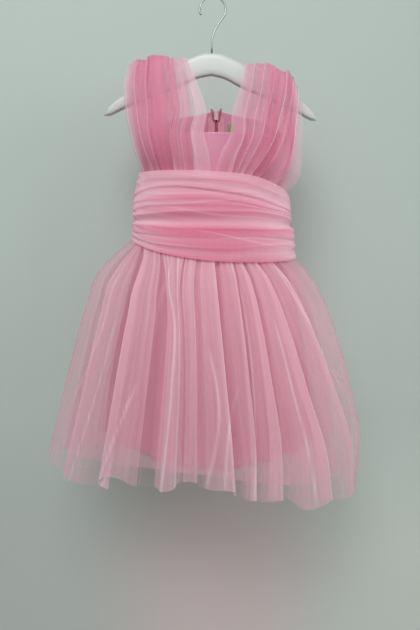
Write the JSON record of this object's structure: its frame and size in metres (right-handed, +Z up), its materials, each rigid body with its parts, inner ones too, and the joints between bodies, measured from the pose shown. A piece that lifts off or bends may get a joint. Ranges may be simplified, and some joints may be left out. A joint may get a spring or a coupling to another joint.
{
  "type": "toddler party dress on a hanger",
  "caption": "Toddler party dress with gathered tulle shoulder drapes, a draped sash, a full layered skirt and a back zip, hanging on a child's hanger.",
  "frame": {"origin": "inside top of the hanger's hook, where a rail holds it", "axes": "+Z up, the dress faces -Y, and +X is right as seen from the front"},
  "size_m": [0.45, 0.2566, 0.703],
  "materials": {
    "white_plastic": "smooth, slightly glossy",
    "steel_wire": "grey wire",
    "pink_satin": "satin with a soft sheen",
    "pink_lining": "matte lining",
    "pink_tulle": "fine net, translucent",
    "layered_tulle": "several layers of fine net, nearly opaque",
    "zip_tape": "woven tape",
    "zip_metal": "painted rose",
    "label_cloth": "woven, blank"
  },
  "bodies": {
    "dress": {"hanger_body": "white_plastic", "hanger_hook": "steel_wire", "bodice_front": "pink_satin", "bodice_back_left": "pink_satin", "bodice_back_right": "pink_satin", "drape_left": "pink_tulle", "drape_right": "pink_tulle", "sash_front": "layered_tulle", "sash_back_left": "layered_tulle", "sash_back_right": "layered_tulle", "skirt_lining_front": "pink_lining", "skirt_lining_back_left": "pink_lining", "skirt_lining_back_right": "pink_lining", "skirt_under_tulle_front": "pink_tulle", "skirt_under_tulle_back_left": "pink_tulle", "skirt_under_tulle_back_right": "pink_tulle", "skirt_outer_tulle_front": "pink_tulle", "skirt_outer_tulle_back_left": "pink_tulle", "skirt_outer_tulle_back_right": "pink_tulle", "zip_tape_left": "zip_tape", "zip_tape_right": "zip_tape", "zip_chain": "zip_tape", "zip_slider": "zip_metal", "neck_label": "label_cloth"},
    "pull_tab": {"zip_pull_tab": "zip_metal"}
  },
  "joints": [
    {"name": "pull_tab_swing", "type": "hinge", "parent": "dress", "child": "pull_tab", "pos_m": [0.005, 0.04754, -0.1563], "axis": [1, 0, 0], "range_deg": [0, 150]}
  ]
}
